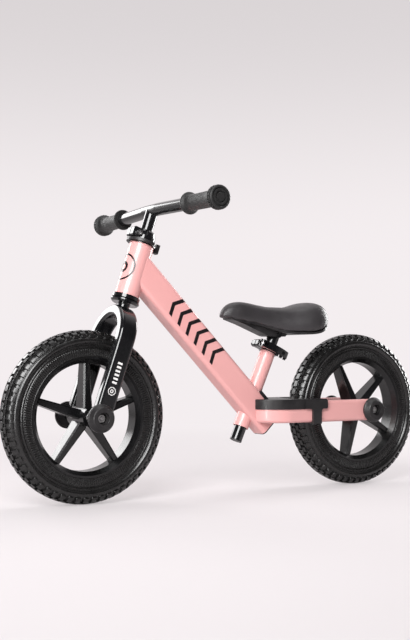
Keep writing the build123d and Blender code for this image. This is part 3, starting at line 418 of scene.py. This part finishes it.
# -------------------------------------------------------------------- grips
GRIP_PROFILE = (              # distance from the inner end, radius, in mm
    (0.0, 11.3), (0.0, 17.6), (0.9, 18.6), (2.2, 18.8), (3.4, 18.6), (4.5, 17.4),
    (6.3, 15.0), (9.5, 13.7), (14.0, 13.4), (60.0, 13.7), (75.0, 14.2), (79.5, 15.4),
    (81.8, 17.2), (83.0, 19.2), (83.9, 20.0), (85.9, 20.0), (86.3, 18.5), (87.6, 18.5),
    (88.0, 20.0), (90.6, 20.0), (91.0, 18.5), (92.2, 18.4), (92.6, 19.6), (94.2, 18.8),
    (95.2, 17.0), (95.2, 15.8), (93.4, 15.4), (93.4, 13.2), (95.3, 12.8), (95.4, 10.0),
    (93.6, 9.6), (93.6, 7.4), (95.4, 7.0), (95.6, 0.6),
)
GRIP_COLUMNS = 96
NOTCH_ZONE, NOTCH_DEPTH, NOTCH_PITCH = (83.0, 91.5), 1.6, 4     # mm, mm, columns
BARREL_ZONE, BARREL_DEPTH, BARREL_PITCH = (10, 78), 0.35, 2
BORE_REACH = 0.85             # how far the hollow tapers towards the tip
END_DEPTH = 2.5 * MM          # how far a tilted end face may reach along Y


def end_centre(node, side):
    """Middle of the end face of a node at its lowest (-1) or highest (1) Y."""
    points = [v.co for v in frame["nodes"][node].data.vertices]
    limit = side * max(side * p.y for p in points)
    near = [p for p in points if abs(p.y - limit) < END_DEPTH]
    spans = [(min(p[i] for p in near), max(p[i] for p in near)) for i in range(3)]
    return Vector([(low + high) / 2 for low, high in spans])


def frame_along(start, end):
    """Matrix whose Z runs from start to end, with its origin at start."""
    turn = (end - start).to_track_quat("Z", "Y").to_matrix().to_4x4()
    return Matrix.Translation(start) @ turn


def grip_ring(bm, place, along, radius, stretch):
    """One ring of grip points, cut in where the relief says."""
    ring = []
    for i in range(GRIP_COLUMNS):
        angle = 2 * pi * i / GRIP_COLUMNS
        r = (radius - grip_relief(along, i)) * MM
        ring.append(bm.verts.new(place @ Vector(
            (r * cos(angle), r * sin(angle), along * MM * stretch))))
    return ring


def bridge(bm, ring, following):
    """Faces from one ring of points to the next."""
    for i in range(len(ring)):
        k = (i + 1) % len(ring)
        bm.faces.new((ring[i], ring[k], following[k], following[i]))


def grip(side_name, side):
    """Rubber grip turned from its profile, hollow where the handlebar goes in."""
    node = f"grip_{side_name}"
    inner, outer = end_centre(node, -side), end_centre(node, side)
    place = frame_along(inner, outer)
    stretch = (outer - inner).length / (GRIP_PROFILE[-1][0] * MM)
    bm = bmesh.new()
    rings = [grip_ring(bm, place, along, radius, stretch)
             for along, radius in GRIP_PROFILE]
    for ring, following in zip(rings, rings[1:]):
        bridge(bm, ring, following)
    bm.faces.new(rings[-1])
    bore = [bm.verts.new(v.co.lerp(outer, BORE_REACH)) for v in rings[0]]
    bridge(bm, bore, rings[0])
    bm.faces.new(list(reversed(bore)))
    obj = mesh_object(f"rubber_grip_{side_name}", bm, MATERIALS["grip_rubber"], 40.0)
    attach(obj, "handlebar")
    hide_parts(node)


def grip_relief(along, column):
    """How far the surface is cut in, in mm: knob notches and fine barrel ribs."""
    for (low, high), depth, pitch in ((NOTCH_ZONE, NOTCH_DEPTH, NOTCH_PITCH),
                                      (BARREL_ZONE, BARREL_DEPTH, BARREL_PITCH)):
        if low < along < high and column % pitch == 0:
            return depth
    return 0.0


# ------------------------------------------------------------------- saddle
SADDLE_VOXEL = 4 * MM
SADDLE_TUCK = 1.5 * MM        # the pad is drawn in by this before it swells
SADDLE_CAP = 3.0 * MM         # the most that a point of it may swell
SADDLE_PRESSURE = 4.0
SADDLE_FRAMES = 20            # cloth steps


def pin_underside(obj):
    """Vertex group of the points that rest on the saddle's base plate."""
    group = obj.vertex_groups.new(name="rest")
    low = [v.index for v in obj.data.vertices if v.normal.z < -0.6]
    group.add(low, 1.0, "REPLACE")
    return group


def inflate(obj):
    """Blow the pad up as cloth, no point moving further than SADDLE_CAP."""
    before = [v.co.copy() for v in obj.data.vertices]
    group = pin_underside(obj)
    cloth = obj.modifiers.new("cloth", "CLOTH")
    cloth.settings.use_pressure = True
    cloth.settings.uniform_pressure_force = SADDLE_PRESSURE
    cloth.settings.effector_weights.gravity = 0.0
    cloth.settings.vertex_group_mass = group.name
    for number in range(1, SADDLE_FRAMES + 1):
        bpy.context.scene.frame_set(number)
    apply_modifiers(obj)
    bpy.context.scene.frame_set(1)
    for vert, start in zip(obj.data.vertices, before):
        move = vert.co - start
        if move.length > SADDLE_CAP:
            vert.co = start + move * (SADDLE_CAP / move.length)


def add_smooth(obj, factor):
    smooth = obj.modifiers.new("smooth", "SMOOTH")
    smooth.factor = factor
    smooth.iterations = 3


def saddle():
    """Padded cushion: the CAD solid drawn in, then swollen under its vinyl skin."""
    node = frame["nodes"]["saddle_cushion"]
    obj = bpy.data.objects.new("padded_saddle", node.data.copy())
    bpy.context.scene.collection.objects.link(obj)
    remesh = obj.modifiers.new("even", "REMESH")
    remesh.mode = "VOXEL"
    remesh.voxel_size = SADDLE_VOXEL
    tuck = obj.modifiers.new("tuck", "DISPLACE")
    tuck.strength = -SADDLE_TUCK
    tuck.mid_level = 0.0
    add_smooth(obj, 0.5)
    apply_modifiers(obj)
    inflate(obj)
    add_smooth(obj, 0.4)
    finer = obj.modifiers.new("finer", "SUBSURF")
    finer.levels = finer.render_levels = 1
    apply_modifiers(obj)
    obj.data.materials.clear()
    obj.data.materials.append(MATERIALS["saddle_foam"])
    obj.data.polygons.foreach_set("use_smooth", [True] * len(obj.data.polygons))
    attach(obj, "seat")
    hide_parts("saddle_cushion")


# ------------------------------------------------------------------ graphics
STEER_JOINT = next(j for j in frame["joints"] if j["name"] == "steering")
STEER_AXIS = Vector(STEER_JOINT["axis"]).normalized()
STEER_POINT = Vector(STEER_JOINT["pos_m"])
FORWARD = Vector((0, 1, 0)).cross(STEER_AXIS)      # square to the steering axis
BEAM_ANGLE = radians(45.6)                # slope of the main beam
BEAM_HEIGHT = 50 * MM
BEAM_MARKS = 6                            # on each side
MARK_START, MARK_PITCH = 168 * MM, 23.5 * MM
MARK_ABOVE = 2.5 * MM                     # above the middle line of the beam
MARK_LENGTH, MARK_HEIGHT, MARK_STROKE = 17 * MM, 38 * MM, 7.5 * MM
LEG_BARS = 6
LEG_RING_UP, LEG_BAR_UP = 45 * MM, 58 * MM     # up the leg from the axle
LEG_BAR_PITCH, LEG_BAR_WIDTH, LEG_BAR_HALF = 6.6 * MM, 3.4 * MM, 4.2 * MM
LEG_PRINT_AHEAD = 3 * MM
PAINT_PRINT, LEG_PRINT = 0.2 * MM, 0.15 * MM   # how thick the prints are


def decal(name, faces, place, thickness, body, mat):
    """Thin raised print; faces are (u, v) corners and place maps u, v, lift."""
    bm = bmesh.new()
    for corners in faces:
        bm.faces.new([bm.verts.new((u, v, 0)) for u, v in corners])
    bmesh.ops.remove_doubles(bm, verts=bm.verts, dist=1e-6)
    flat = list(bm.faces)
    raised = bmesh.ops.extrude_face_region(bm, geom=flat, use_keep_orig=True)
    for vert in (v for v in raised["geom"] if isinstance(v, bmesh.types.BMVert)):
        vert.co.z = thickness
    for vert in bm.verts:
        vert.co = place(*vert.co)
    obj = mesh_object(name, bm, mat)
    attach(obj, body)


def ring_faces(u, radius, width, count):
    """Flat ring round (u, 0) as a list of four-cornered faces."""
    inner, outer = radius - width / 2, radius + width / 2
    faces = []
    for i in range(count):
        a, b = 2 * pi * i / count, 2 * pi * (i + 1) / count
        faces.append([(u + r * cos(t), r * sin(t))
                      for r, t in ((inner, a), (outer, a), (outer, b), (inner, b))])
    return faces


def chevron_faces(u, v, length, height, stroke):
    """Arrow-like mark pointing along +U."""
    half, tip = height / 2, length - stroke
    lower = [(u, v - half), (u + stroke, v - half), (u + length, v), (u + tip, v)]
    upper = [(u, v + half), (u + tip, v), (u + length, v), (u + stroke, v + half)]
    return [lower, upper]


def beam_place(side):
    """Map for prints on a side of the beam: u up the beam, v across it."""
    low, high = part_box("main_beam")
    along = Vector((cos(BEAM_ANGLE), 0, sin(BEAM_ANGLE)))
    up = Vector((-sin(BEAM_ANGLE), 0, cos(BEAM_ANGLE)))
    foot = Vector((low.x, 0, low.z)) + Vector(
        (sin(BEAM_ANGLE), 0, cos(BEAM_ANGLE))) * BEAM_HEIGHT / 2
    face = high.y if side > 0 else low.y

    def place(u, v, lift):
        point = foot + along * u + up * v
        point.y = face + side * lift
        return point
    return place


def beam_graphics():
    """Plain black arrow marks on each side of the beam."""
    for side_name, side in SIDES:
        marks = []
        for n in range(BEAM_MARKS):
            marks += chevron_faces(MARK_START + n * MARK_PITCH, MARK_ABOVE, MARK_LENGTH,
                                   MARK_HEIGHT, MARK_STROKE)
        decal(f"beam_mark_{side_name}", marks, beam_place(side), PAINT_PRINT, "frame",
              BLACK)


def head_ring():
    """Ring and dot wrapped round the front of the head tube."""
    low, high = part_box("head_tube")
    radius = (high.y - low.y) / 2
    centre = (low + high) / 2
    middle = STEER_POINT + STEER_AXIS * (centre - STEER_POINT).dot(STEER_AXIS)

    def place(u, v, lift):
        turn = u / radius
        out = FORWARD * cos(turn) + Vector((0, 1, 0)) * sin(turn)
        return middle + STEER_AXIS * v + out * (radius + lift)
    decal("head_tube_ring", ring_faces(0, 23 * MM, 3.2 * MM, 64), place, PAINT_PRINT,
          "frame", BLACK)
    decal("head_tube_dot", ring_faces(0, 8 * MM, 5 * MM, 32), place, PAINT_PRINT,
          "frame", BLACK)


def leg_place(side):
    """Map for prints on the outside of a fork leg: u up from the axle, v forward."""
    low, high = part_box("fork_legs")
    face = high.y if side > 0 else low.y

    def place(u, v, lift):
        point = STEER_POINT + STEER_AXIS * u + FORWARD * (v + LEG_PRINT_AHEAD)
        point.y = face + side * lift
        return point
    return place


def leg_graphics():
    """White ring with a dot and short bars near the foot of each fork leg."""
    for side_name, side in SIDES:
        marks = ring_faces(LEG_RING_UP, 6.4 * MM, 1.3 * MM, 40)
        marks += ring_faces(LEG_RING_UP, 2.4 * MM, 1.6 * MM, 24)
        for n in range(LEG_BARS):
            low = LEG_BAR_UP + n * LEG_BAR_PITCH
            high = low + LEG_BAR_WIDTH
            marks.append([(low, -LEG_BAR_HALF), (high, -LEG_BAR_HALF),
                          (high, LEG_BAR_HALF), (low, LEG_BAR_HALF)])
        decal(f"fork_mark_{side_name}", marks, leg_place(side), LEG_PRINT, "fork", WHITE)


# -------------------------------------------------------------------- studio
FLOOR_RADIUS = 60.0
FLOOR_NEAR, FLOOR_FAR = 0.55, 1.9      # the paper fades to the backdrop between
SHADE_NEAR, SHADE_FAR = 0.10, 0.95     # towards the viewer the floor gets dimmer
SHADE = 0.70
FLOOR_SELF_LIGHT = 0.45                # share of the floor that no shadow dims
FLOOR_FELT = 0.45                      # the floor's own light on the bike
SKY_DIM = 0.78                         # brightness of the backdrop high up
SKY_CLEAR, SKY_TOP = 0.10, 0.34        # sines of the heights where it dims
AMBIENT_BEHIND = 0.95                  # light of the backdrop on the bike
AMBIENT_FRONT = 0.05                   # light of the dark room in front of it
ROOM_BEHIND, ROOM_FRONT = -0.7, 0.1    # where one turns into the other


def floor():
    """Pale floor that fades into the backdrop colour away from the bike."""
    bm = bmesh.new()
    bmesh.ops.create_circle(bm, cap_ends=True, radius=FLOOR_RADIUS, segments=96)
    obj = mesh_object("studio_floor", bm, floor_material())


def ramp_between(mat, value, low, high, start, end):
    """Smooth step of a value from start at low to end at high."""
    step = add_node(mat, "ShaderNodeMapRange", interpolation_type="SMOOTHSTEP")
    for key, number in (("From Min", low), ("From Max", high), ("To Min", start),
                        ("To Max", end)):
        step.inputs[key].default_value = number
    link(mat, value, step.inputs["Value"])
    return step.outputs["Result"]


def floor_material():
    """Paper near the bike, dimmed by its shadow; a glow further away, with painted shade that makes it dimmer
    towards the viewer.
    """
    mat = new_material("floor_paper", FLOOR_PAPER, 0.9, Specular_IOR_Level=0.1)
    place = add_node(mat, "ShaderNodeTexCoord").outputs["Object"]
    length = add_node(mat, "ShaderNodeVectorMath", operation="LENGTH")
    link(mat, place, length.inputs[0])
    fade = ramp_between(mat, length.outputs["Value"], FLOOR_NEAR, FLOOR_FAR,
                        FLOOR_SELF_LIGHT, 1.0)
    nearer = add_node(mat, "ShaderNodeVectorMath", operation="DOT_PRODUCT")
    nearer.inputs[1].default_value = view_direction()
    link(mat, place, nearer.inputs[0])
    # Painted shade: the floor's glow is made dimmer towards the viewer.
    shade = ramp_between(mat, nearer.outputs["Value"], SHADE_NEAR, SHADE_FAR, 1.0, SHADE)
    glow = add_node(mat, "ShaderNodeEmission")
    glow.inputs["Color"].default_value = BACKDROP
    seen = add_node(mat, "ShaderNodeLightPath").outputs["Is Camera Ray"]
    felt = ramp_between(mat, seen, 0.0, 1.0, FLOOR_FELT, 1.0)
    strength = add_node(mat, "ShaderNodeMath", operation="MULTIPLY")
    link(mat, shade, strength.inputs[0])
    link(mat, felt, strength.inputs[1])
    link(mat, strength.outputs["Value"], glow.inputs["Strength"])
    mix = add_node(mat, "ShaderNodeMixShader")
    link(mat, fade, mix.inputs["Fac"])
    link(mat, shader(mat).outputs["BSDF"], mix.inputs[1])
    link(mat, glow.outputs["Emission"], mix.inputs[2])
    output = mat.node_tree.nodes["Material Output"]
    link(mat, mix.outputs["Shader"], output.inputs["Surface"])
    return mat


def backdrop():
    """Pale surroundings for the camera, dimmer as light on the bike."""
    world = bpy.data.worlds.new("studio")
    bpy.context.scene.world = world
    world.use_nodes = True
    around = add_node(world, "ShaderNodeTexCoord").outputs["Generated"]
    split = add_node(world, "ShaderNodeSeparateXYZ")
    link(world, around, split.inputs["Vector"])
    seen = world.node_tree.nodes["Background"]
    dim = ramp_between(world, split.outputs["Z"], SKY_CLEAR, SKY_TOP, 1.0, SKY_DIM)
    felt = add_node(world, "ShaderNodeBackground")
    toward = add_node(world, "ShaderNodeVectorMath", operation="DOT_PRODUCT")
    toward.inputs[1].default_value = view_direction()
    link(world, around, toward.inputs[0])
    glow = ramp_between(world, toward.outputs["Value"], ROOM_BEHIND, ROOM_FRONT,
                        AMBIENT_BEHIND, AMBIENT_FRONT)
    for light, strength in ((seen, dim), (felt, glow)):
        light.inputs["Color"].default_value = BACKDROP
        link(world, strength, light.inputs["Strength"])
    mix = add_node(world, "ShaderNodeMixShader")
    link(world, add_node(world, "ShaderNodeLightPath").outputs["Is Camera Ray"],
         mix.inputs["Fac"])
    link(world, felt.outputs["Background"], mix.inputs[1])
    link(world, seen.outputs["Background"], mix.inputs[2])
    output = world.node_tree.nodes["World Output"]
    link(world, mix.outputs["Shader"], output.inputs["Surface"])


def area_light(name, place, aim, width, height, power):
    data = bpy.data.lights.new(name, "AREA")
    data.shape = "RECTANGLE"
    data.size = width
    data.size_y = height
    data.energy = power
    obj = bpy.data.objects.new(name, data)
    obj.location = place
    obj.rotation_euler = (Vector(aim) - Vector(place)).to_track_quat("-Z", "Y").to_euler()
    obj.visible_camera = False
    bpy.context.scene.collection.objects.link(obj)


def lights():
    """Soft panels all round the bike: place, aim, width, height and power."""
    area_light("key", (1.45, 1.50, 1.45), (0, 0, 0.3), 1.2, 1.2, 57)
    area_light("overhead", (0.1, -0.2, 2.4), (0, 0, 0.2), 1.6, 1.2, 10)
    area_light("front_strip", (2.1, 1.1, 0.45), (0.1, 0, 0.35), 0.4, 1.3, 26)
    area_light("far_strip", (0.7, -2.2, 1.2), (0, 0, 0.3), 1.0, 1.1, 18)
    area_light("rear_strip", (-2.2, -0.4, 0.6), (-0.2, 0, 0.3), 0.5, 1.6, 44)


def view_direction():
    """Unit vector from the middle of the picture back to the camera."""
    a, e = radians(CAMERA_AZIMUTH), radians(CAMERA_ELEVATION)
    return Vector((sin(a) * cos(e), -cos(a) * cos(e), sin(e)))


def camera():
    data = bpy.data.cameras.new("camera")
    data.lens = CAMERA_LENS
    data.sensor_width = SENSOR
    data.sensor_fit = "AUTO"
    obj = bpy.data.objects.new("camera", data)
    back = view_direction()
    obj.location = Vector(CAMERA_TARGET) + back * CAMERA_DISTANCE
    obj.rotation_euler = (-back).to_track_quat("-Z", "Y").to_euler()
    bpy.context.scene.collection.objects.link(obj)
    bpy.context.scene.camera = obj


def main():
    bpy.context.scene.view_settings.view_transform = "Standard"
    camera()
    backdrop()
    lights()
    floor()
    dress_cad_nodes()
    for end in ("front", "rear"):
        tyre(f"{end}_tyre", f"{end}_wheel")
    for side_name, side in SIDES:
        grip(side_name, side)
    saddle()
    beam_graphics()
    head_ring()
    leg_graphics()


main()
